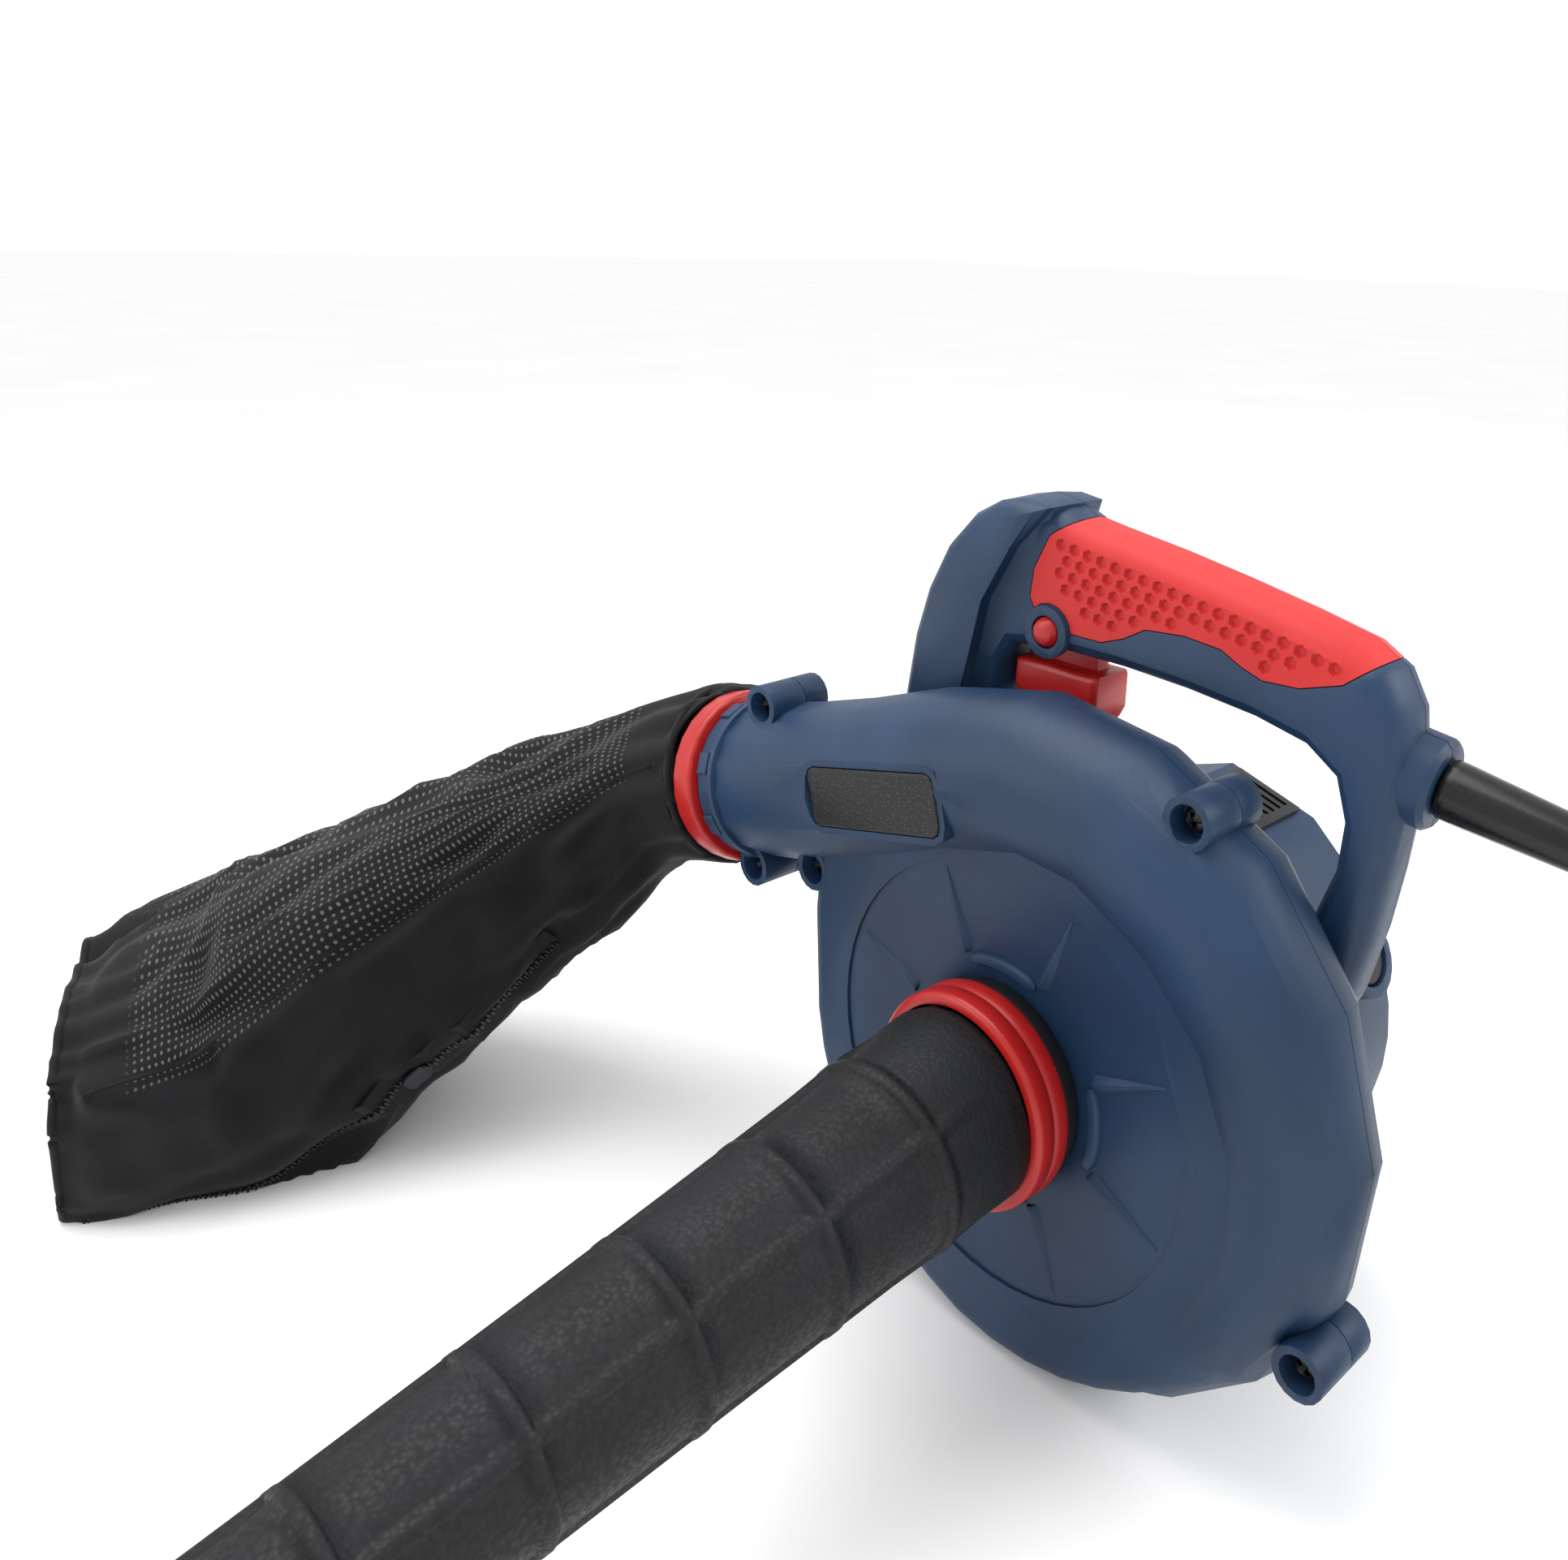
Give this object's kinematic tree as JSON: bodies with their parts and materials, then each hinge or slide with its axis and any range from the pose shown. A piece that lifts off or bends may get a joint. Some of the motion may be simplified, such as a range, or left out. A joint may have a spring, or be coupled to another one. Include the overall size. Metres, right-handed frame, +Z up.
{
  "type": "corded leaf blower with dust bag",
  "caption": "Hand-held corded leaf blower and vacuum: scroll fan housing with a D handle, a tapered nozzle at the intake and a fabric bag at the outlet.",
  "frame": {"origin": "centre of the footprint of the whole blower without its cord, on the ground", "axes": "+Z up, +X from the bag's side to the cord's side, +Y from the nozzle to the motor, along the fan axis"},
  "size_m": [0.602, 0.4249, 0.235],
  "materials": {
    "housing_plastic": "fine texture",
    "black_steel": "blackened",
    "black_plastic": "satin",
    "badge_plastic": "fine speckle",
    "grip_rubber": "soft dimpled",
    "red_plastic": "satin",
    "nozzle_plastic": "grained",
    "bag_fabric": "woven",
    "zip_metal": "nickel",
    "cord_rubber": "satin",
    "brass": "plain",
    "steel": "ground",
    "core_steel": "lacquered laminations",
    "copper": null,
    "carbon": null
  },
  "bodies": {
    "housing": {"scroll_front_shell": "housing_plastic", "scroll_rear_shell": "housing_plastic", "handle_left_shell": "housing_plastic", "handle_right_shell": "housing_plastic", "motor_housing": "housing_plastic", "motor_end_cover": "housing_plastic", "scroll_screw_1": "black_steel", "scroll_screw_2": "black_steel", "scroll_screw_3": "black_steel", "scroll_screw_4": "black_steel", "scroll_screw_5": "black_steel", "scroll_screw_6": "black_steel", "handle_screw_1": "black_steel", "handle_screw_2": "black_steel", "handle_screw_3": "black_steel", "handle_screw_4": "black_steel", "cover_screw_1": "black_steel", "cover_screw_2": "black_steel", "cover_screw_3": "black_steel", "intake_collar": "black_plastic", "vent_panel": "black_plastic", "brush_cap_left": "black_plastic", "brush_cap_right": "black_plastic", "switch_body": "black_plastic", "capacitor": "black_plastic", "cord_clamp": "black_plastic", "badge_plate": "badge_plastic", "grip_left": "grip_rubber", "grip_right": "grip_rubber", "strain_relief": "cord_rubber", "power_cord": "cord_rubber", "cord_coil": "cord_rubber", "cord_tail": "cord_rubber", "plug_body": "cord_rubber", "plug_pin_near": "brass", "plug_pin_far": "brass", "brush_holder_left": "brass", "brush_holder_right": "brass", "front_bearing": "steel", "rear_bearing": "steel", "lock_spring": "steel", "trigger_spring": "steel", "stator_core": "core_steel", "field_coil_upper": "copper", "field_coil_lower": "copper", "carbon_brush_left": "carbon", "carbon_brush_right": "carbon"},
    "rotor": {"rotor_shaft": "steel", "armature_core": "core_steel", "commutator": "copper", "impeller": "black_plastic", "impeller_nut": "steel"},
    "trigger": {"trigger": "red_plastic"},
    "lock_button": {"lock_button": "red_plastic"},
    "nozzle": {"nozzle_ring": "red_plastic", "nozzle_tube": "nozzle_plastic"},
    "bag": {"bag_ring": "red_plastic", "bag_body": "bag_fabric"},
    "zipper_slider": {"zipper_slider": "zip_metal"}
  },
  "joints": [
    {"name": "fan_spin", "type": "hinge", "parent": "housing", "child": "rotor", "pos_m": [0.08404, 0.11133, 0.0835], "axis": [0, 1, 0], "continuous": true},
    {"name": "trigger_pull", "type": "slide", "parent": "housing", "child": "trigger", "axis": [0, 0, 1], "range_m": [0, 0.006], "stiffness_N_per_m": 500, "springref_m": -0.002, "deforming": ["trigger_spring"]},
    {"name": "lock_press", "type": "slide", "parent": "housing", "child": "lock_button", "axis": [0, 1, 0], "range_m": [0, 0.0025], "stiffness_N_per_m": 300, "springref_m": -0.001},
    {"name": "nozzle_twist", "type": "hinge", "parent": "housing", "child": "nozzle", "pos_m": [0.08404, 0.05333, 0.0835], "axis": [0, 1, 0], "range_deg": [0, 30]},
    {"name": "bag_twist", "type": "hinge", "parent": "housing", "child": "bag", "pos_m": [-0.03436, 0.07433, 0.1307], "axis": [-0.9703, 0, -0.2419], "range_deg": [0, 25]},
    {"name": "zip_slide", "type": "slide", "parent": "bag", "child": "zipper_slider", "axis": [-0.3, -0.7274, -0.6172], "range_m": [0, 0.0377]}
  ]
}
